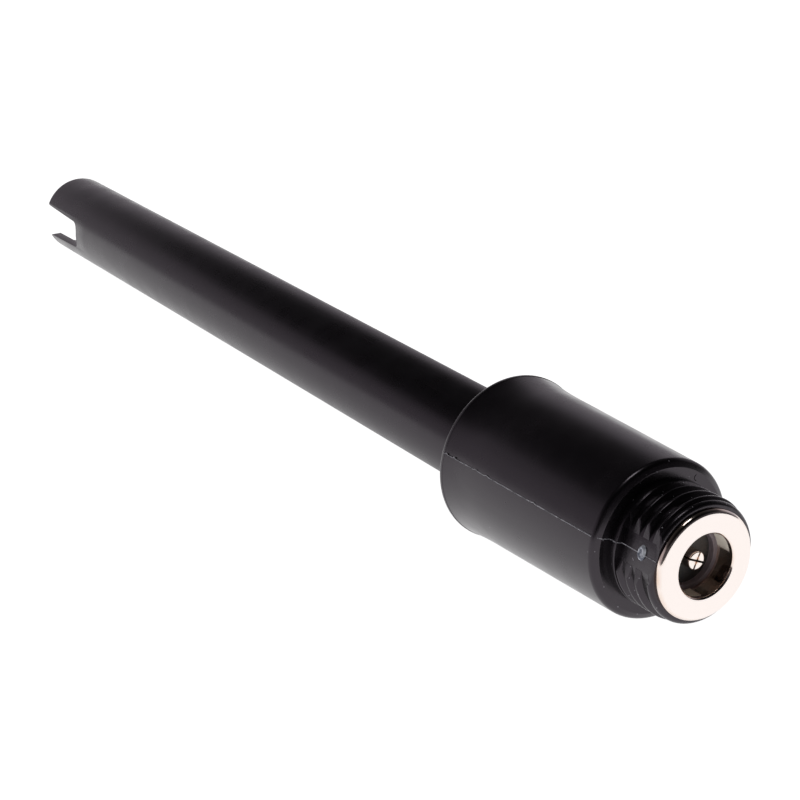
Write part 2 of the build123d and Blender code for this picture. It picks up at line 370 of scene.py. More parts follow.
def add_node(
    tree: bpy.types.NodeTree,
    kind: str,
    values: dict[str | int, object] | None = None,
    links: dict[str | int, bpy.types.NodeSocket] | None = None,
) -> bpy.types.Node:
    """Add a node, set its values and settings, and link its inputs.

    Args:
        tree: The node tree.
        kind: The node's type.
        values: Input values by socket name or number, and settings by name.
        links: The sockets that feed its inputs.

    Returns:
        The new node.
    """
    node = tree.nodes.new(kind)
    for key, value in (values or {}).items():
        if isinstance(key, int) or key in node.inputs:
            node.inputs[key].default_value = value
        else:
            setattr(node, key, value)
    for key, socket in (links or {}).items():
        tree.links.new(socket, node.inputs[key])
    return node


@dataclass(frozen=True)
class Finish:
    """What a piece is made of and how its surface was made."""

    name: str
    slot: str
    colour: str
    roughness: float
    metallic: float = 0.0

    def material(self) -> bpy.types.Material:
        """Make the material, or find it if it was made before.

        Returns:
            The material.
        """
        found = bpy.data.materials.get(self.name)
        if found:
            return found
        material = bpy.data.materials.new(self.name)
        material.use_nodes = True
        tree = material.node_tree
        shader = tree.nodes["Principled BSDF"]
        shader.inputs["Base Color"].default_value = paint(self.colour)
        shader.inputs["Roughness"].default_value = self.roughness
        shader.inputs["Metallic"].default_value = self.metallic
        self.dress(tree, shader)
        return material

    def place(self, tree: bpy.types.NodeTree) -> bpy.types.NodeSocket:
        """Add the upright place of a point, from its object's own coordinates.

        Args:
            tree: The node tree.

        Returns:
            The place, in millimetres.
        """
        upright = RESTING.inverted()
        where = add_node(tree, "ShaderNodeTexCoord")
        mapping = add_node(
            tree,
            "ShaderNodeMapping",
            {
                "Location": upright.to_translation(),
                "Rotation": upright.to_euler(),
                "Scale": (PER_METRE, PER_METRE, PER_METRE),
            },
            {"Vector": where.outputs["Object"]},
        )
        return mapping.outputs["Vector"]

    def from_axis(self, tree: bpy.types.NodeTree) -> bpy.types.NodeSocket:
        """Add the distance of a point from the electrode's axis.

        Args:
            tree: The node tree.

        Returns:
            The distance, in millimetres.
        """
        across = add_node(
            tree,
            "ShaderNodeVectorMath",
            {"operation": "MULTIPLY", 1: ACROSS_AXIS},
            {0: self.place(tree)},
        )
        length = add_node(tree, "ShaderNodeVectorMath", {"operation": "LENGTH"}, {0: across.outputs[0]})
        return length.outputs["Value"]

    def grain(
        self,
        tree: bpy.types.NodeTree,
        size: float | tuple[float, float, float],
        detail: float = 2.0,
    ) -> bpy.types.NodeSocket:
        """Add an even noise whose lumps have a real size.

        Args:
            tree: The node tree.
            size: The lumps' size in millimetres, along X, Y and Z if they are long.
            detail: How many finer layers the noise has.

        Returns:
            The noise, from 0 to 1.
        """
        sides = size if isinstance(size, tuple) else (size, size, size)
        stretched = add_node(
            tree,
            "ShaderNodeVectorMath",
            {"operation": "DIVIDE", 1: sides},
            {0: self.place(tree)},
        )
        noise = add_node(
            tree, "ShaderNodeTexNoise", {"Scale": 1.0, "Detail": detail}, {"Vector": stretched.outputs[0]}
        )
        return noise.outputs["Fac"]

    def spread(
        self,
        tree: bpy.types.NodeTree,
        value: bpy.types.NodeSocket,
        lowest: float,
        highest: float,
        start: float = 0.3,
        end: float = 0.7,
    ) -> bpy.types.NodeSocket:
        """Add a range that a pattern is stretched to.

        Args:
            tree: The node tree.
            value: The pattern.
            lowest: What the pattern's start becomes.
            highest: What the pattern's end becomes.
            start: The pattern's value that becomes lowest.
            end: The pattern's value that becomes highest.

        Returns:
            The stretched pattern.
        """
        ranged = add_node(
            tree,
            "ShaderNodeMapRange",
            {"From Min": start, "From Max": end, "To Min": lowest, "To Max": highest},
            {"Value": value},
        )
        return ranged.outputs["Result"]

    def mix(
        self,
        tree: bpy.types.NodeTree,
        share: bpy.types.NodeSocket,
        below: bpy.types.NodeSocket | tuple[float, float, float, float],
        above: tuple[float, float, float, float],
    ) -> bpy.types.NodeSocket:
        """Add a colour between two others.

        Args:
            tree: The node tree.
            share: How much of the second colour shows.
            below: The first colour, or the socket that gives it.
            above: The second colour.

        Returns:
            The colour.
        """
        blend = add_node(tree, "ShaderNodeMix", {"data_type": "RGBA"}, {"Factor": share})
        first, second = [socket for socket in blend.inputs if socket.type == "RGBA"]
        second.default_value = above
        if isinstance(below, tuple):
            first.default_value = below
        else:
            tree.links.new(below, first)
        return next(socket for socket in blend.outputs if socket.type == "RGBA")

    def relief(
        self,
        tree: bpy.types.NodeTree,
        shader: bpy.types.Node,
        pattern: bpy.types.NodeSocket,
        depth: float,
    ) -> None:
        """Let a pattern raise the surface by a real depth.

        Args:
            tree: The node tree.
            shader: The shader whose normal it feeds.
            pattern: The pattern.
            depth: The height of a full step, in millimetres.
        """
        bump = add_node(
            tree,
            "ShaderNodeBump",
            {"Strength": 1.0, "Distance": depth / PER_METRE},
            {"Height": pattern},
        )
        tree.links.new(bump.outputs["Normal"], shader.inputs["Normal"])

    def dress(self, tree: bpy.types.NodeTree, shader: bpy.types.Node) -> None:
        """Give the surface a slight unevenness of gloss and level.

        Args:
            tree: The node tree.
            shader: The principled shader.
        """
        cloud = self.grain(tree, 1.5)
        gloss = self.spread(tree, cloud, self.roughness * 0.85, min(1.0, self.roughness * 1.2))
        tree.links.new(gloss, shader.inputs["Roughness"])
        self.relief(tree, shader, self.grain(tree, 0.2), 0.002)


@dataclass(frozen=True)
class BlackMoulding(Finish):
    """Black plastic: satin, a faint orange peel, a few fine scratches and pale specks of dust."""

    ior: float = 1.54
    sheen: tuple[float, float, float, float] = (1.0, 0.88, 1.0, 1.0)
    peel_size: float = 0.45
    peel_depth: float = 0.0012
    sink_size: float = 0.7
    sink_depth: float = 0.02
    sunk_before: float = 4.9
    scratch: tuple[float, float, float] = (2.6, 2.6, 0.07)
    scratched_from: float = 20.5
    scratches_fade: float = 2.0
    scratched_side: float = math.radians(22.0)
    scratched_above: float = 6.3
    scratch_gloss: float = 0.15
    scratch_colour: str = "#3a373d"
    speck_size: float = 0.05
    speck_spacing: float = 0.5
    speck_share: float = 0.006
    dusty_share: float = 0.45
    dusty_before: float = 5.8
    dust: str = "#a3a1a8"

    def scratches(self, tree: bpy.types.NodeTree, place: bpy.types.Node) -> bpy.types.NodeSocket:
        """Add the fine scratches next to the head's lip, or the faint lines along the tube.

        Args:
            tree: The node tree.
            place: The upright place, split in its three parts.

        Returns:
            How scratched the surface is.
        """
        lines = self.spread(tree, self.grain(tree, self.scratch, 1.0), 0.0, 1.0, 0.62, 0.7)
        start = self.scratched_from
        back = self.spread(tree, place.outputs["Z"], 0.0, 1.0, start, start + self.scratches_fade)
        towards = (math.cos(self.scratched_side), math.sin(self.scratched_side), 0.0)
        facing = add_node(
            tree, "ShaderNodeVectorMath", {"operation": "DOT_PRODUCT", 1: towards}, {0: self.place(tree)}
        )
        height = facing.outputs["Value"]
        top = self.spread(tree, height, 0.0, 1.0, self.scratched_above, self.scratched_above + 0.2)
        where = add_node(tree, "ShaderNodeMath", {"operation": "MULTIPLY"}, {0: back, 1: top})
        marks = add_node(
            tree, "ShaderNodeMath", {"operation": "MULTIPLY"}, {0: lines, 1: where.outputs[0]}
        )
        return marks.outputs[0]

    def specks(self, tree: bpy.types.NodeTree, place: bpy.types.Node) -> bpy.types.NodeSocket:
        """Add the specks of dust, most of them on the neck and round the front edge.

        Args:
            tree: The node tree.
            place: The upright place, split in its three parts.

        Returns:
            Where a speck covers the plastic.
        """
        spots = add_node(
            tree, "ShaderNodeTexVoronoi", {"Scale": 1 / self.speck_spacing}, {"Vector": self.place(tree)}
        )
        rim = self.speck_size / self.speck_spacing
        small = self.spread(tree, spots.outputs["Distance"], 1.0, 0.0, 0.6 * rim, rim)
        chance = add_node(tree, "ShaderNodeSeparateColor", links={"Color": spots.outputs["Color"]})
        share = self.spread(
            tree,
            place.outputs["Z"],
            self.dusty_share,
            self.speck_share,
            self.dusty_before,
            self.dusty_before + 0.3,
        )
        few = add_node(
            tree, "ShaderNodeMath", {"operation": "LESS_THAN"}, {0: chance.outputs["Red"], 1: share}
        )
        shown = add_node(tree, "ShaderNodeMath", {"operation": "MULTIPLY"}, {0: small, 1: few.outputs[0]})
        return shown.outputs[0]

    def dress(self, tree: bpy.types.NodeTree, shader: bpy.types.Node) -> None:
        """Add gloss clouds, scratches, dust, the orange peel and the sink marks of the neck.

        Args:
            tree: The node tree.
            shader: The principled shader.
        """
        shader.inputs["IOR"].default_value = self.ior
        shader.inputs["Specular Tint"].default_value = self.sheen
        place = add_node(tree, "ShaderNodeSeparateXYZ", links={0: self.place(tree)})
        lines = self.scratches(tree, place)
        clouds = self.spread(tree, self.grain(tree, 2.2), self.roughness * 0.88, self.roughness * 1.12)
        gloss = add_node(
            tree,
            "ShaderNodeMath",
            {"operation": "MULTIPLY_ADD", 1: self.scratch_gloss},
            {0: lines, 2: clouds},
        )
        tree.links.new(gloss.outputs[0], shader.inputs["Roughness"])
        rubbed_and_lit = self.mix(tree, lines, paint(self.colour), paint(self.scratch_colour))
        shade = self.mix(tree, self.specks(tree, place), rubbed_and_lit, paint(self.dust))
        tree.links.new(shade, shader.inputs["Base Color"])

        end = self.sunk_before
        neck = self.spread(tree, place.outputs["Z"], self.sink_depth, 0.0, end, end + 0.2)
        sunk = add_node(
            tree, "ShaderNodeMath", {"operation": "MULTIPLY"}, {0: self.grain(tree, self.sink_size), 1: neck}
        )
        height = add_node(
            tree,
            "ShaderNodeMath",
            {"operation": "MULTIPLY_ADD", 1: self.peel_depth},
            {0: self.grain(tree, self.peel_size), 2: sunk.outputs[0]},
        )
        self.relief(tree, shader, height.outputs[0], 1.0)


@dataclass(frozen=True)
class BrightPlate(Finish):
    """Bright nickel plate on turned brass: nearly a mirror, with faint rings from the lathe."""

    ring_pitch: float = 0.09
    ring_depth: float = 0.00004
    worn: str = "#c79a72"
    inner_edge: float = 2.6
    outer_edge: float = 3.93
    # painted light: the near-white colour of the rub patches on the bore wall
    rubbed_and_lit: str = "#fff8ea"
    rubbed_roughness: float = 0.45
    lit_rub_metal: float = 0.1
    lit_rubs: tuple[tuple[float, float], ...] = ()
    rubbed_from: float = 0.4

    def rubs_and_painted_light(
        self, tree: bpy.types.NodeTree, flat: bpy.types.NodeSocket, radius: bpy.types.NodeSocket
    ) -> bpy.types.NodeSocket:
        """Add the patches in the bore where the springs of the mating plug have rubbed: rougher plate,
        painted near white as painted light from the opening.

        Args:
            tree: The node tree.
            flat: The place across the axis.
            radius: The distance from the axis.

        Returns:
            Where the plate is rubbed and painted light.
        """
        outward = add_node(tree, "ShaderNodeVectorMath", {"operation": "NORMALIZE"}, {0: flat})
        total = None
        for middle, half_width in self.lit_rubs:
            towards = (math.cos(math.radians(middle)), math.sin(math.radians(middle)), 0.0)
            facing = add_node(
                tree,
                "ShaderNodeVectorMath",
                {"operation": "DOT_PRODUCT", 1: towards},
                {0: outward.outputs[0]},
            )
            edge = math.cos(math.radians(half_width))
            patch = self.spread(tree, facing.outputs["Value"], 0.0, 1.0, edge - 0.03, edge + 0.01)
            if total is not None:
                both = add_node(tree, "ShaderNodeMath", {"operation": "MAXIMUM"}, {0: total, 1: patch})
                patch = both.outputs[0]
            total = patch
        parts = add_node(tree, "ShaderNodeSeparateXYZ", links={0: self.place(tree)})
        deep = self.spread(tree, parts.outputs["Z"], 0.0, 1.0, self.rubbed_from, self.rubbed_from + 0.1)
        wall = self.spread(tree, radius, 1.0, 0.0, self.inner_edge - 0.1, self.inner_edge - 0.06)
        inside = add_node(tree, "ShaderNodeMath", {"operation": "MULTIPLY"}, {0: deep, 1: wall})
        rubbed_and_lit = add_node(
            tree, "ShaderNodeMath", {"operation": "MULTIPLY"}, {0: total, 1: inside.outputs[0]}
        )
        return rubbed_and_lit.outputs[0]

    def dress(self, tree: bpy.types.NodeTree, shader: bpy.types.Node) -> None:
        """Add tool rings, gloss clouds, thin, warm plate at the edges, and the rub patches painted near
        white as painted light.

        Args:
            tree: The node tree.
            shader: The principled shader.
        """
        place = self.place(tree)
        flat = add_node(
            tree, "ShaderNodeVectorMath", {"operation": "MULTIPLY", 1: ACROSS_AXIS}, {0: place}
        )
        radius = add_node(tree, "ShaderNodeVectorMath", {"operation": "LENGTH"}, {0: flat.outputs[0]})
        rings = add_node(
            tree,
            "ShaderNodeMath",
            {"operation": "PINGPONG", 1: self.ring_pitch / 2},
            {0: radius.outputs["Value"]},
        )
        shallow = add_node(
            tree, "ShaderNodeMath", {"operation": "DIVIDE", 1: self.ring_pitch / 2}, {0: rings.outputs[0]}
        )
        self.relief(tree, shader, shallow.outputs[0], self.ring_depth)
        gloss = self.spread(tree, self.grain(tree, 0.7, 4.0), self.roughness * 0.7, self.roughness * 1.6)
        reach = radius.outputs["Value"]
        inside = self.spread(tree, reach, 0.7, 0.0, self.inner_edge - 0.14, self.inner_edge + 0.02)
        outside = self.spread(tree, reach, 0.0, 0.55, self.outer_edge + 0.1, self.outer_edge + 0.4)
        edges = add_node(
            tree, "ShaderNodeMath", {"operation": "ADD", "use_clamp": True}, {0: inside, 1: outside}
        )
        patch = self.spread(tree, self.grain(tree, 1.3), 0.15, 1.0)
        wear = add_node(tree, "ShaderNodeMath", {"operation": "MULTIPLY"}, {0: edges.outputs[0], 1: patch})
        shade = self.mix(tree, wear.outputs[0], paint(self.colour), paint(self.worn))
        if self.lit_rubs:
            lit_rubs = self.rubs_and_painted_light(tree, flat.outputs[0], radius.outputs["Value"])
            rough = add_node(tree, "ShaderNodeMix", {"data_type": "FLOAT"}, {0: lit_rubs, 2: gloss})
            rough.inputs[3].default_value = self.rubbed_roughness
            gloss = rough.outputs[0]
            metal = self.spread(tree, lit_rubs, self.metallic, self.lit_rub_metal, 0.0, 1.0)
            tree.links.new(metal, shader.inputs["Metallic"])
            # painted light: the rub patches are painted near white and barely metallic
            shade = self.mix(tree, lit_rubs, shade, paint(self.rubbed_and_lit))
        tree.links.new(gloss, shader.inputs["Roughness"])
        tree.links.new(shade, shader.inputs["Base Color"])


@dataclass(frozen=True)
class Clear(Finish):
    """A clear glass or liquid, without colour of its own."""

    ior: float = 1.5

    def dress(self, tree: bpy.types.NodeTree, shader: bpy.types.Node) -> None:
        """Let light through, and wave the surface a little.

        Args:
            tree: The node tree.
            shader: The principled shader.
        """
        shader.inputs["Transmission Weight"].default_value = 1.0
        shader.inputs["IOR"].default_value = self.ior
        self.relief(tree, shader, self.grain(tree, 1.8), 0.004)


@dataclass(frozen=True)
class Grainy(Finish):
    """A dull solid with grains or streaks of a second colour."""

    second: str = "#ffffff"
    grain_size: tuple[float, float, float] = (0.15, 0.15, 0.15)
    depth: float = 0.01

    def dress(self, tree: bpy.types.NodeTree, shader: bpy.types.Node) -> None:
        """Mix in the second colour and raise the grain.

        Args:
            tree: The node tree.
            shader: The principled shader.
        """
        grain = self.grain(tree, self.grain_size, 3.0)
        share = self.spread(tree, grain, 0.0, 1.0, 0.4, 0.62)
        shade = self.mix(tree, share, paint(self.colour), paint(self.second))
        tree.links.new(shade, shader.inputs["Base Color"])
        gloss = self.spread(tree, grain, self.roughness * 0.85, min(1.0, self.roughness * 1.15))
        tree.links.new(gloss, shader.inputs["Roughness"])
        self.relief(tree, shader, grain, self.depth)


@dataclass(frozen=True)
class InsulatorWithPaintedLitRim(Grainy):
    """Dark moulded plastic whose raised rim, next to the metal, is painted paler: painted light on the rim
    round the shaded recess.
    """

    # painted light: the paler colour of the lit rim
    rim: str = "#7d7277"
    rim_radius: float = 2.13

    def dress(self, tree: bpy.types.NodeTree, shader: bpy.types.Node) -> None:
        """Add the grain, and the rim's painted light by its distance from the axis.

        Args:
            tree: The node tree.
            shader: The principled shader.
        """
        super().dress(tree, shader)
        dark = shader.inputs["Base Color"].links[0].from_socket
        reach = self.from_axis(tree)
        share = self.spread(tree, reach, 0.0, 1.0, self.rim_radius - 0.02, self.rim_radius)
        # painted light on the rim; the recess is left dark
        tree.links.new(self.mix(tree, share, dark, paint(self.rim)), shader.inputs["Base Color"])


# Moulded ABS from a polished mould: near black, satin, the peel about half a millimetre across.
HEAD_ABS = BlackMoulding("moulded black ABS", "head_plastic", "#09080a", 0.25)
# Extruded tube: the same black, a little duller, its faint lines drawn along the axis.
TUBE_PLASTIC = BlackMoulding(
    "extruded black plastic", "tube_plastic", "#0b0a0c", 0.29, peel_size=0.8, peel_depth=0.0008,
    scratch=(0.1, 0.1, 7.0), scratched_side=0.0, scratched_above=1.0, scratch_gloss=0.03,
    scratch_colour="#0d0c0e", speck_share=0.003,
)
# Torn ABS turns pale where it was stretched, so the flash and the gate look whitish grey.
TORN_ABS = Grainy(
    "stress-whitened ABS", "head_plastic", "#5f5d64", 0.5, second="#a8a6ad",
    grain_size=(0.2, 0.2, 0.4), depth=0.01,
)
# The gate was broken off: bluish grey where the stub tore, with paler grains.
GATE_ABS = Grainy(
    "torn ABS at the gate", "head_plastic", "#6b7080", 0.4, second="#d2d6de",
    grain_size=(0.3, 0.3, 0.3), depth=0.02,
)
# Its two rub patches on the bore wall are painted near white, as painted light.
NICKEL = BrightPlate(
    "bright nickel plate on brass", "nickel_plate", "#efe6e1", 0.1, 1.0, lit_rubs=((63.0, 17.0), (-160.0, 18.0)),
)
PIN_NICKEL = BrightPlate(
    "bright nickel plate on the pin", "nickel_plate", "#f0e6df", 0.12, 1.0, inner_edge=0.3, outer_edge=0.55,
)
# Glass-filled PBT: dark brown, satin, with short pale fibres just under the skin, and a rim painted paler as
# painted light.
INSULATOR = InsulatorWithPaintedLitRim(
    "moulded dark PBT", "insulator_plastic", "#17110e", 0.38, second="#2a211b",
    grain_size=(0.1, 0.1, 0.3), depth=0.004,
)
GLASS = Clear("blown electrode glass", "bulb_glass", "#ffffff", 0.02, ior=1.51)
BUFFER = Clear("chloride buffer solution", "buffer_solution", "#ffffff", 0.0, ior=1.34)
# Drawn silver: bright, with faint clouds of gloss.
SILVER = Finish("drawn silver wire", "silver", "#dedcd6", 0.22, 1.0)
CHLORIDE = Grainy("silver chloride coating", "silver_chloride", "#3d363b", 0.85, second="#6a6066")
GEL = Grainy(
    "cloudy reference gel", "gel", "#d6d5ca", 0.3, second="#e6e5dd", grain_size=(1.2, 1.2, 1.2), depth=0.002,
)
RUBBER = Grainy("moulded black rubber", "seal_rubber", "#111111", 0.7, second="#1b1b1b")
CERAMIC = Grainy("unglazed porous ceramic", "porous_ceramic", "#e2ddd2", 0.9, second="#cbc4b6")
COPPER = Finish("tinned copper wire", "copper", "#c9b7a6", 0.3, 1.0)
PVC = Finish("extruded white PVC", "lead_insulation", "#dcdcd6", 0.45)
SOLDER = Finish("reflowed solder", "solder", "#b9babd", 0.35, 1.0)
RESIN = Grainy(
    "cast epoxy resin", "resin", "#241f1c", 0.4, second="#2e2824", grain_size=(0.9, 0.9, 0.9), depth=0.002,
)


# The electrode's sub-assemblies


@dataclass
class HeadMoulding:
    """The black moulded head: collar, interrupted thread, shoulder, barrel and rear lip."""

    front: float = 0.5
    collar_radius: float = 4.75
    collar_end: float = 0.95
    collar_rounding: float = 0.35
    root_radius: float = 4.5
    thread_end: float = 4.45
    shoulder_radius: float = 4.95
    face: float = 5.15
    land_radius: float = 5.75
    bevel_end: float = 5.3
    bevel_radius: float = 6.05
    edge_end: float = 5.75
    edge_radius: float = 6.34
    edge_rounding: float = 0.494
    flare_start: float = 20.7
    flare_radius: float = 6.62
    band_start: float = 24.2
    band_step: float = 0.03
    lip_radius: float = 6.88
    rear: float = 24.7
    lip_rounding: float = 0.35
    corner_rounding: float = 0.06
    root_fillet: float = 0.1
    land_rounding: float = 0.05
    edge_steps: int = 8
    flare_steps: int = 12
    socket_start: float = 14.0
    socket_radius: float = 3.85
    shell_radius: float = 3.3
    groove: Point = (4.0, 5.0)
    groove_radius: float = 2.95

    crest_radius: float = 4.92
    pitch: float = 1.1
    crest_width: float = 0.22
    crest_rounding: float = 0.08
    ridge_foot_width: float = 1.06
    ridge_foot_radius: float = 4.2
    half_turn: float = math.radians(150.0)
    half_turn_steps: int = 72
    half_turns: int = 8
    first_crest: float = 1.35
    flat_distance: float = 4.36
    flat_block: Point = (4.0, 12.0)

    crown: float = 0.05
    crown_width: float = 2.2
    crown_ridge: float = 0.075
    flash_root: float = 0.04
    flash_height: float = 0.07
    flash_width: float = 0.065
    flash_lean: float = 0.7
    flash_tears: float = 0.012
    burr_reach: float = 0.13
    burr_size: Point = (0.05, 0.09)
    burrs: tuple[float, ...] = (23.9, 22.9, 20.0, 18.6, 12.6, 9.0, 5.85)
    gate_middle: float = 2.2
    gate_lift: float = 0.1
    gate_size: Point = (0.6, 0.38)
    gate_height: float = 0.24
    gate_steps: tuple[Point, ...] = ((0.6, 0.9), (0.4, 0.8))
    gate_rim: float = 0.09
    gate_wall: float = 0.05
    gate_hollow: float = 0.1
    gate_tears: float = 0.018
    nick_radius: float = 5.35
    nick_angle: float = math.radians(36.0)
    nick_size: float = 0.24
    nick_depth: float = 0.045
    steps: int = 288

    def outer_line(self) -> list[Point]:
        """List the outside's corners from the collar to the rear lip.

        Returns:
            Radius and axial place of each corner.
        """
        first = math.asin((self.edge_end - self.bevel_end) / self.edge_rounding)
        edge = []
        for count in range(1, self.edge_steps):
            angle = first * (1 - count / self.edge_steps)
            edge.append(
                (
                    self.edge_radius - self.edge_rounding * (1 - math.cos(angle)),
                    self.edge_end - self.edge_rounding * math.sin(angle),
                )
            )
        flare = []
        span = self.band_start - self.flare_start
        slope = (self.flare_radius - self.edge_radius) / (self.flare_start - self.edge_end)
        end_radius = self.lip_radius - self.band_step
        bend = (end_radius - self.flare_radius - slope * span) / span**2
        for count in range(1, self.flare_steps):
            along = span * count / self.flare_steps
            radius = self.flare_radius + slope * along + bend * along**2
            flare.append((radius, self.flare_start + along))
        return [
            (self.collar_radius, self.front),
            (self.collar_radius, self.collar_end),
            (self.root_radius, self.collar_end),
            (self.root_radius, self.thread_end),
            (self.shoulder_radius, self.thread_end),
            (self.shoulder_radius, self.face),
            (self.land_radius, self.face),
            (self.bevel_radius, self.bevel_end),
            *edge,
            (self.edge_radius, self.edge_end),
            (self.flare_radius, self.flare_start),
            *flare,
            (end_radius, self.band_start - 0.02),
            (self.lip_radius, self.band_start),
            (self.lip_radius, self.rear),
        ]

    def blank(self) -> bpy.types.Object:
        """Turn the head without its thread.

        Returns:
            The blank.
        """
        inner = [
            (self.socket_radius, self.rear),
            (self.socket_radius, self.socket_start),
            (self.shell_radius, self.socket_start),
            (self.shell_radius, self.groove[1]),
            (self.groove_radius, self.groove[1]),
            (self.groove_radius, self.groove[0]),
            (self.shell_radius, self.groove[0]),
            (self.shell_radius, self.front),
        ]
        outline = draw("head_moulding", self.outer_line() + inner)
        round_corner(outline, (self.collar_radius, self.front), self.collar_rounding, 8)
        round_corner(outline, (self.lip_radius, self.rear), self.lip_rounding, 10)
        round_corner(outline, (self.shoulder_radius, self.thread_end), self.corner_rounding, 3)
        round_corner(outline, (self.root_radius, self.collar_end), self.root_fillet, 3)
        round_corner(outline, (self.collar_radius, self.collar_end), self.corner_rounding, 3)
        round_corner(outline, (self.land_radius, self.face), self.land_rounding, 3)
        return turn(outline, self.steps)

    def half_turn_ridge(self) -> bpy.types.Object:
        """Sweep the thread's ridge over one side of the neck.

        Returns:
            The ridge, its middle on the X side at height 0.
        """
        half = self.crest_width / 2
        foot = self.ridge_foot_width / 2
        ridge = draw(
            "ridge",
            [
                (self.ridge_foot_radius, -foot),
                (self.crest_radius, -half),
                (self.crest_radius, half),
                (self.ridge_foot_radius, foot),
            ],
        )
        for side in (-half, half):
            round_corner(ridge, (self.crest_radius, side), self.crest_rounding, 3)
        only(ridge)
        rise = self.pitch * self.half_turn / FULL_TURN
        helix = ridge.modifiers.new("helix", "SCREW")
        helix.axis = "Z"
        helix.angle = self.half_turn
        helix.screw_offset = rise
        helix.steps = helix.render_steps = self.half_turn_steps
        helix.use_merge_vertices = False
        bpy.ops.object.modifier_apply(modifier=helix.name)
        edit_all(ridge)
        bpy.ops.mesh.fill_holes(sides=0)
        bpy.ops.object.mode_set(mode="OBJECT")
        tidy(ridge)
        swing(ridge, -self.half_turn / 2, -rise / 2)
        return ridge

    def add_thread(self, head: bpy.types.Object) -> None:
        """Set a ridge on each side of the neck in turn, half a pitch further on each time.

        Args:
            head: The blank.
        """
        first = self.half_turn_ridge()
        ridges = []
        for count in range(self.half_turns):
            ridge = copy_of(first)
            angle = NEAR_PARTING + math.pi / 2 + math.pi * count
            swing(ridge, angle, self.first_crest + count * self.pitch / 2)
            ridges.append(ridge)
        bpy.data.objects.remove(first, do_unlink=True)
        work(head, melt_together(ridges), Join.ADD)

    def cut_flats(self, head: bpy.types.Object) -> None:
        """Cut the flats that the mould's parting faces leave on the collar and thread.

        Args:
            head: The head with its thread.
        """
        for side in Side:
            length = self.thread_end - self.front + 1.0
            deep, wide = self.flat_block
            middle = (self.flat_distance + deep / 2, 0.0, self.thread_end - length / 2)
            block = box("flat", middle, (deep, wide, length))
            swing(block, side.value)
            work(head, block, Join.CUT)

    def crown_parting(self, head: bpy.types.Object) -> None:
        """Raise the barrel a little along the parting line, where the mould's two halves meet.

        Args:
            head: The head.
        """
        for side in Side:
            outward = Vector((math.cos(side.value), math.sin(side.value), 0.0))
            across = Vector((-outward.y, outward.x, 0.0))
            edit_points(
                head,
                lambda point: self.edge_end - 0.02 < point.z < self.flare_start + 0.02
                and point.to_2d().length > 5.0
                and point.dot(outward) > 0
                and abs(point.dot(across)) < self.crown_ridge,
            )
            bpy.ops.transform.translate(
                value=outward * self.crown,
                use_proportional_edit=True,
                proportional_edit_falloff="LINEAR",
                proportional_size=self.crown_width,
                use_proportional_connected=True,
            )
            bpy.ops.object.mode_set(mode="OBJECT")

    def nick(self, head: bpy.types.Object) -> None:
        """Press the small curved mark into the front face that an ejector pin has left.

        Args:
            head: The head.
        """
        bpy.ops.object.select_all(action="DESELECT")
        bpy.ops.mesh.primitive_torus_add(
            major_radius=self.nick_size, minor_radius=self.nick_depth, major_segments=40, minor_segments=10
        )
        mark = bpy.context.object
        edit_all(mark)
        bpy.ops.mesh.bisect(
            plane_co=(0.0, -0.05, 0.0), plane_no=(0.0, 1.0, 0.0), use_fill=True, clear_outer=True
        )
        bpy.ops.object.mode_set(mode="OBJECT")
        place = (
            self.nick_radius * math.cos(self.nick_angle),
            self.nick_radius * math.sin(self.nick_angle),
            self.face - 0.01,
        )
        mark.matrix_world = Matrix.Translation(place)
        bpy.ops.object.transform_apply(location=True, rotation=True, scale=True)
        work(head, mark, Join.CUT)

    def parting_line(self) -> list[Point]:
        """List where the mould's halves meet, from the collar over the flat and the face to the lip.

        Returns:
            Radius and axial place of each corner, just under the surface.
        """
        root = self.flash_root
        crowned = [
            (radius + self.crown - root, place)
            for radius, place in self.outer_line()
            if place >= self.edge_end
        ]
        return [
            (self.flat_distance - root, self.front + 0.1),
            (self.flat_distance - root, self.thread_end + root),
            (self.shoulder_radius - root, self.thread_end + root),
            (self.shoulder_radius - root, self.face + root),
            (self.land_radius - root, self.face + root),
            (self.bevel_radius - root, self.bevel_end + root),
            *crowned[:-2],
            (self.lip_radius - root, self.band_start + 0.1),
            (self.lip_radius - 0.1 - root, self.rear - 0.1),
        ]

    def flash(self, side: Side) -> bpy.types.Object:
        """Make the thin torn fin along the parting line.

        Args:
            side: The side of the head that it is on.

        Returns:
            The fin.
        """
        fin = draw("flash", self.parting_line(), closed=False)
        edit_all(fin)
        bpy.ops.mesh.subdivide(number_cuts=3)
        edit_points(fin, lambda point: self.edge_end < point.z < self.flare_start + 0.5)
        bpy.ops.mesh.subdivide(number_cuts=12)
        edit_all(fin)
        bpy.ops.mesh.extrude_region_move(
            TRANSFORM_OT_translate={
                "value": (self.flash_height, 0.0, -self.flash_lean * self.flash_height)
            }
        )
        seed = 7 if side is Side.NEAR else 11
        bpy.ops.transform.vertex_random(offset=self.flash_tears, uniform=0.5, seed=seed)
        for place in self.burrs:
            edit_points(fin, lambda point: abs(point.z - place) < self.burr_reach)
            bpy.ops.transform.translate(value=(*self.burr_size, 0.0))
        only(fin)
        wall = fin.modifiers.new("thickness", "SOLIDIFY")
        wall.thickness = self.flash_width
        wall.offset = 0.0
        bpy.ops.object.modifier_apply(modifier=wall.name)
        tidy(fin)
        swing(fin, side.value)
        return fin

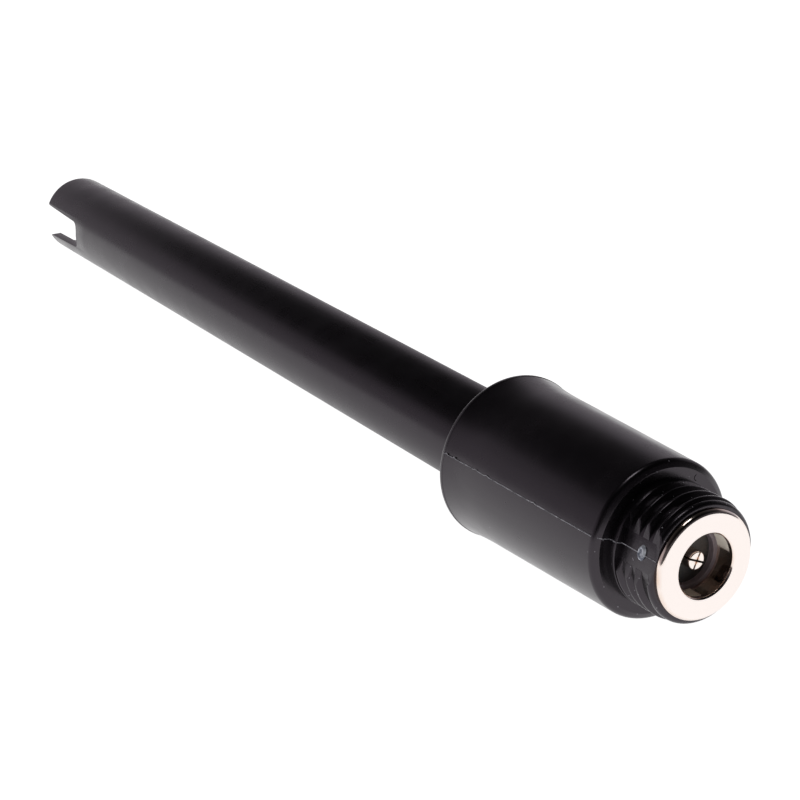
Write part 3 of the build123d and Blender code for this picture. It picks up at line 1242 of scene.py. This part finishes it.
    def gate(self) -> bpy.types.Object:
        """Model the torn stub of the sprue on the near flat, with its hollow middle.

        Returns:
            The stub.
        """
        bpy.ops.object.select_all(action="DESELECT")
        bpy.ops.mesh.primitive_circle_add(vertices=32, radius=1.0, fill_type="NGON")
        stub = bpy.context.object
        stub.name = "gate_vestige"
        edit_all(stub)
        bpy.ops.transform.resize(value=(self.gate_size[0], self.gate_size[1], 1.0))
        for rise, shrink in self.gate_steps:
            bpy.ops.mesh.extrude_region_move(
                TRANSFORM_OT_translate={"value": (0.0, 0.0, rise * self.gate_height)}
            )
            bpy.ops.transform.resize(value=(shrink, shrink, 1.0))
        bpy.ops.mesh.inset(thickness=self.gate_rim)
        bpy.ops.mesh.inset(thickness=self.gate_wall, depth=-self.gate_hollow)
        edit_all(stub)
        bpy.ops.transform.vertex_random(offset=self.gate_tears, uniform=0.4, seed=5)
        bpy.ops.object.mode_set(mode="OBJECT")
        tidy(stub)
        stub.matrix_world = (
            Matrix.Translation((self.flat_distance - 0.03, self.gate_lift, self.gate_middle))
            @ Matrix.Rotation(math.pi / 2, 4, "Y")
            @ Matrix.Rotation(math.pi / 2, 4, "Z")
        )
        bpy.ops.object.transform_apply(location=True, rotation=True, scale=True)
        swing(stub, Side.NEAR.value)
        return stub

    def build(self) -> None:
        """Model the head with its thread, flash and gate stub, in place of the CAD head."""
        head = self.blank()
        self.add_thread(head)
        self.cut_flats(head)
        tidy(head)
        self.crown_parting(head)
        self.nick(head)
        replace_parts(lay_down(head, HEAD_ABS, Smoothness.MOULDED), "head")
        fins = melt_together([self.flash(side) for side in Side])
        fins.name = "parting_flash"
        lay_down(fins, TORN_ABS, Smoothness.MOULDED)
        lay_down(self.gate(), GATE_ABS, Smoothness.TURNED)


@dataclass
class CoaxialContact:
    """The coaxial contact: plated ring and shell, insulator and slotted pin."""

    ring_radius: float = 4.3
    ring_rounding: float = 0.37
    ring_length: float = 0.5
    shell_radius: float = 3.3
    shell_end: float = 9.0
    groove: Point = (4.0, 5.0)
    groove_radius: float = 2.95
    bore: float = 2.48
    bore_chamfer: float = 0.12
    bore_rounding: float = 0.03
    tag_end: float = 11.0
    tag_width: float = 1.6
    tag_inside: float = 2.85
    tag_outside: float = 3.27

    insulator_start: float = 1.8
    recess_radius: float = 2.14
    recess_depth: float = 0.5
    recess_rim_rounding: float = 0.05
    recess_floor_rounding: float = 0.08

    pin_radius: float = 0.73
    pin_start: float = 1.1
    pin_chamfer: float = 0.12
    pin_edge: float = 0.015
    pin_slot_width: float = 0.16
    pin_slot_depth: float = 2.4
    pin_slot_angle: float = math.radians(-65.0)
    flange_radius: float = 1.15
    flange: Point = (5.0, 5.8)
    tail_end: float = 11.0
    cup_radius: float = 0.42
    cup_start: float = 9.6

    def shell(self) -> bpy.types.Object:
        """Turn the ring and shell, and add the tag that the reference lead is soldered to.

        Returns:
            The shell.
        """
        outline = draw(
            "contact_ring_and_shell",
            [
                (self.bore + self.bore_chamfer, 0.0),
                (self.ring_radius, 0.0),
                (self.ring_radius, self.ring_length),
                (self.shell_radius, self.ring_length),
                (self.shell_radius, self.groove[0]),
                (self.groove_radius, self.groove[0]),
                (self.groove_radius, self.groove[1]),
                (self.shell_radius, self.groove[1]),
                (self.shell_radius, self.shell_end),
                (self.bore, self.shell_end),
                (self.bore, self.bore_chamfer),
            ],
        )
        round_corner(outline, (self.ring_radius, 0.0), self.ring_rounding, 12)
        round_corner(outline, (self.bore + self.bore_chamfer, 0.0), self.bore_rounding, 3)
        round_corner(outline, (self.bore, self.bore_chamfer), self.bore_rounding, 3)
        shell = turn(outline, 256)
        tag = box(
            "tag",
            ((self.tag_inside + self.tag_outside) / 2, 0.0, (self.shell_end + self.tag_end) / 2 - 0.05),
            (self.tag_outside - self.tag_inside, self.tag_width, self.tag_end - self.shell_end + 0.1),
        )
        work(shell, tag, Join.ADD)
        return shell

    def insulator(self) -> bpy.types.Object:
        """Turn the insulator with the shallow recess round the pin.

        Returns:
            The insulator.
        """
        floor = self.insulator_start + self.recess_depth
        outline = draw(
            "contact_insulator_body",
            [
                (self.pin_radius, floor),
                (self.recess_radius, floor),
                (self.recess_radius, self.insulator_start),
                (self.bore, self.insulator_start),
                (self.bore, self.shell_end),
                (self.pin_radius, self.shell_end),
                (self.pin_radius, self.flange[1]),
                (self.flange_radius, self.flange[1]),
                (self.flange_radius, self.flange[0]),
                (self.pin_radius, self.flange[0]),
            ],
        )
        round_corner(outline, (self.recess_radius, self.insulator_start), self.recess_rim_rounding, 3)
        round_corner(outline, (self.recess_radius, floor), self.recess_floor_rounding, 3)
        return turn(outline, 160)

    def pin(self) -> bpy.types.Object:
        """Turn the pin and saw its end into four springs.

        Returns:
            The pin.
        """
        outline = draw(
            "slotted_pin",
            [
                (0.0, self.pin_start),
                (self.pin_radius, self.pin_start),
                (self.pin_radius, self.flange[0]),
                (self.flange_radius, self.flange[0]),
                (self.flange_radius, self.flange[1]),
                (self.pin_radius, self.flange[1]),
                (self.pin_radius, self.tail_end),
                (self.cup_radius, self.tail_end),
                (self.cup_radius, self.cup_start),
                (0.0, self.cup_start),
            ],
            closed=False,
        )
        round_corner(outline, (self.pin_radius, self.pin_start), self.pin_chamfer, 5)
        pin = turn(outline, 96)
        for quarter in (0.0, math.pi / 2):
            depth = self.pin_slot_depth + 1.0
            saw = box(
                "saw",
                (0.0, 0.0, self.pin_start + self.pin_slot_depth - depth / 2),
                (4 * self.pin_radius, self.pin_slot_width, depth),
            )
            swing(saw, self.pin_slot_angle + quarter)
            work(pin, saw, Join.CUT)
        soften_edges(pin, self.pin_edge, SHARP)
        return pin

    def build(self) -> None:
        """Model the three pieces in place of their CAD nodes."""
        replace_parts(lay_down(self.shell(), NICKEL, Smoothness.TURNED), "contact_shell")
        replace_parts(lay_down(self.insulator(), INSULATOR, Smoothness.TURNED), "contact_insulator")
        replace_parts(lay_down(self.pin(), PIN_NICKEL, Smoothness.TURNED), "centre_pin")


@dataclass
class ShaftTube:
    """The black tube, whose end is cut into two prongs that guard the bulb."""

    radius: float = 4.0
    bore: float = 3.1
    spigot_radius: float = 3.8
    spigot_start: float = 14.0
    shoulder: float = 24.7
    end: float = 108.5
    end_rounding: float = 0.6
    bore_rounding: float = 0.15
    slot_base: float = 100.3
    slot_base_width: float = 2.78
    slot_mouth_width: float = 3.4
    base_rounding: float = 1.0
    mouth_rounding: float = 0.9
    slot_edge: float = 0.05
    above_slots: float = 2.0

    def blank(self) -> bpy.types.Object:
        """Turn the tube before its slots are cut.

        Returns:
            The tube.
        """
        outline = draw(
            "guard_tube",
            [
                (self.bore, self.spigot_start),
                (self.spigot_radius, self.spigot_start),
                (self.spigot_radius, self.shoulder),
                (self.radius, self.shoulder),
                (self.radius, self.slot_base - self.above_slots),
                (self.radius, self.end),
                (self.bore, self.end),
                (self.bore, self.slot_base - self.above_slots),
            ],
        )
        round_corner(outline, (self.radius, self.end), self.end_rounding, 8)
        round_corner(outline, (self.bore, self.end), self.bore_rounding, 4)
        return turn(outline, 224)

    def slot_cutter(self) -> bpy.types.Object:
        """Shape the cutter for both slots, which narrows towards its rounded base.

        Returns:
            The cutter, right through the tube.
        """
        base = self.slot_base_width / 2
        mouth = self.slot_mouth_width / 2
        beyond = self.end + 1.0
        wide = 2 * self.radius
        cutter = draw(
            "cutter",
            [
                (-base, self.slot_base),
                (base, self.slot_base),
                (mouth, self.end),
                (wide, self.end),
                (wide, beyond),
                (-wide, beyond),
                (-wide, self.end),
                (-mouth, self.end),
            ],
        )
        for side in (-1, 1):
            round_corner(cutter, (side * base, self.slot_base), self.base_rounding, 10)
            round_corner(cutter, (side * mouth, self.end), self.mouth_rounding, 6)
        edit_all(cutter)
        bpy.ops.mesh.edge_face_add()
        bpy.ops.transform.translate(value=(0.0, -wide, 0.0))
        bpy.ops.mesh.extrude_region_move(TRANSFORM_OT_translate={"value": (0.0, 2 * wide, 0.0)})
        bpy.ops.object.mode_set(mode="OBJECT")
        tidy(cutter)
        return cutter

    def build(self) -> None:
        """Model the tube in place of its CAD node."""
        tube = self.blank()
        work(tube, self.slot_cutter(), Join.CUT)
        tidy(tube)
        soften_edges(tube, self.slot_edge, SHARP)
        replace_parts(lay_down(tube, TUBE_PLASTIC, Smoothness.MOULDED), "shaft_tube")


@dataclass
class GlassElectrode:
    """The blown glass stem and bulb, and the solution inside it."""

    stem_radius: float = 2.0
    stem_wall: float = 0.5
    bulb_radius: float = 2.5
    bulb_wall: float = 0.3
    bulb_middle: float = 99.9
    stem_top: float = 24.0
    fill_top: float = 28.0
    wire_radius: float = 0.2
    coating_radius: float = 0.35
    coating: Point = (86.0, 92.15)
    bulb_steps: int = 28

    def bulb_line(self, stem: float, bulb: float) -> list[Point]:
        """List the corners of a line that runs round the bulb from its tip to the stem.

        Args:
            stem: The stem's radius.
            bulb: The bulb's radius.

        Returns:
            Radius and axial place of each corner.
        """
        last = math.asin(stem / bulb)
        angles = [(math.pi - last) * count / self.bulb_steps for count in range(self.bulb_steps + 1)]
        return [(bulb * math.sin(angle), self.bulb_middle + bulb * math.cos(angle)) for angle in angles]

    def glass(self) -> bpy.types.Object:
        """Turn the glass, open at the top of the stem.

        Returns:
            The glass.
        """
        inner_stem = self.stem_radius - self.stem_wall
        outside = self.bulb_line(self.stem_radius, self.bulb_radius)
        inside = self.bulb_line(inner_stem, self.bulb_radius - self.bulb_wall)
        top = [(self.stem_radius, self.stem_top), (inner_stem, self.stem_top)]
        outline = draw("glass_stem_and_bulb", outside + top + inside[::-1], closed=False)
        return turn(outline, 96)

    def solution(self) -> bpy.types.Object:
        """Turn the solution that fills the glass round the wire.

        Returns:
            The solution.
        """
        stem = self.stem_radius - self.stem_wall
        outline = draw(
            "buffer_filling",
            self.bulb_line(stem, self.bulb_radius - self.bulb_wall)
            + [
                (stem, self.fill_top),
                (self.wire_radius, self.fill_top),
                (self.wire_radius, self.coating[0]),
                (self.coating_radius, self.coating[0]),
                (self.coating_radius, self.coating[1]),
                (0.0, self.coating[1]),
            ],
            closed=False,
        )
        return turn(outline, 96)

    def build(self) -> None:
        """Model both in place of their CAD nodes."""
        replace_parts(lay_down(self.glass(), GLASS, Smoothness.BLOWN), "glass_electrode")
        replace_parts(lay_down(self.solution(), BUFFER, Smoothness.BLOWN), "inner_buffer")


@dataclass
class InnerParts:
    """The pieces whose CAD solids stay as they are and only get their finish."""

    finishes: dict[str, Finish] = field(
        default_factory=lambda: {
            "inner_silver_wire": SILVER,
            "inner_chloride_tip": CHLORIDE,
            "stem_plug": RUBBER,
            "reference_silver_wire": SILVER,
            "reference_chloride_tip": CHLORIDE,
            "reference_gel": GEL,
            "reference_junction": CERAMIC,
            "lower_seal": RUBBER,
            "upper_seal": RUBBER,
            "centre_lead": COPPER,
            "centre_lead_sleeve": PVC,
            "reference_lead": COPPER,
            "pin_solder": SOLDER,
            "shell_solder": SOLDER,
            "wire_splices": SOLDER,
            "potting": RESIN,
        }
    )

    def build(self) -> None:
        """Give each CAD node its finish."""
        for name, finish in self.finishes.items():
            for slot in frame["nodes"][name].material_slots:
                slot.material = finish.material()
            log.info("%s: CAD solid, %s", name, finish.name)


@dataclass
class Studio:
    """A white table, soft light from above, and the camera at the photograph's angle."""

    camera_place: tuple[float, float, float] = (0.159640, -0.092354, 0.080141)
    camera_aim: tuple[float, float, float] = (0.013385, -0.000285, 0.005930)
    camera_lens: float = 97.77
    sensor: float = 36.0
    table_half: float = 3.0
    table_glow: float = 0.99
    lamp_size: float = 0.14
    lamp_height: float = 0.5
    lamp_watts: float = 0.3
    low_wall: float = 0.50
    wall_greys: tuple[Point, ...] = ((0.26, 0.50), (0.42, 0.38), (0.53, 0.06))
    wall_top: float = 0.85
    ceiling: float = 0.015
    wall_green: float = 0.92

    def table(self) -> None:
        """Lay the pale table under the electrode."""
        bpy.ops.object.select_all(action="DESELECT")
        bpy.ops.mesh.primitive_plane_add(size=2 * self.table_half)
        table = bpy.context.object
        table.name = "table"
        material = bpy.data.materials.new("white acrylic table")
        material.use_nodes = True
        shader = material.node_tree.nodes["Principled BSDF"]
        shader.inputs["Base Color"].default_value = paint("#f4f4f4")
        shader.inputs["Roughness"].default_value = 0.75
        shader.inputs["Specular IOR Level"].default_value = 0.1
        shader.inputs["Emission Color"].default_value = paint("#ffffff")
        shader.inputs["Emission Strength"].default_value = self.table_glow
        table.data.materials.append(material)

    def light(self) -> None:
        """Hang a soft light over the table, in a room darker upwards and behind the camera."""
        bpy.ops.object.select_all(action="DESELECT")
        bpy.ops.object.light_add(type="AREA", location=(0.02, -0.03, self.lamp_height))
        lamp = bpy.context.object
        lamp.name = "overhead_softbox"
        lamp.data.energy = self.lamp_watts
        lamp.data.size = self.lamp_size
        world = bpy.data.worlds.new("studio")
        bpy.context.scene.world = world
        world.use_nodes = True
        tree = world.node_tree
        where = add_node(tree, "ShaderNodeTexCoord")
        parts = add_node(tree, "ShaderNodeSeparateXYZ", links={0: where.outputs["Generated"]})
        ramp = add_node(tree, "ShaderNodeValToRGB", links={"Fac": parts.outputs["Z"]})
        walls = ramp.color_ramp.elements
        walls[0].color = (self.low_wall, self.wall_green * self.low_wall, self.low_wall, 1.0)
        walls[1].position = self.wall_top
        walls[1].color = (self.ceiling, self.ceiling, self.ceiling, 1.0)
        for height, grey in self.wall_greys:
            walls.new(height).color = (grey, self.wall_green * grey, grey, 1.0)
        dark_end = add_node(
            tree,
            "ShaderNodeMapRange",
            {"From Min": -0.1, "From Max": 0.35, "To Min": 1.0, "To Max": 0.12},
            {"Value": parts.outputs["X"]},
        )
        background = tree.nodes["Background"]
        tree.links.new(ramp.outputs["Color"], background.inputs["Color"])
        tree.links.new(dark_end.outputs["Result"], background.inputs["Strength"])

    def camera(self) -> None:
        """Set up the camera where the photograph was taken from."""
        place = Vector(self.camera_place)
        lens = bpy.data.cameras.new("camera")
        lens.lens = self.camera_lens
        lens.sensor_width = self.sensor
        lens.clip_start = 0.005
        camera = bpy.data.objects.new("camera", lens)
        camera.location = place
        camera.rotation_euler = (Vector(self.camera_aim) - place).to_track_quat("-Z", "Y").to_euler()
        bpy.context.scene.collection.objects.link(camera)
        bpy.context.scene.camera = camera

    def build(self) -> None:
        """Set up the table, the light and the camera."""
        self.camera()
        self.table()
        self.light()
        bpy.context.scene.view_settings.view_transform = "Standard"


def main() -> None:
    """Build the studio and the electrode."""
    logging.basicConfig(level=logging.INFO, format="%(message)s")
    assemblies = (Studio(), HeadMoulding(), CoaxialContact(), ShaftTube(), GlassElectrode(), InnerParts())
    for assembly in assemblies:
        log.info("building %s", type(assembly).__name__)
        assembly.build()


if __name__ == "__main__":
    main()
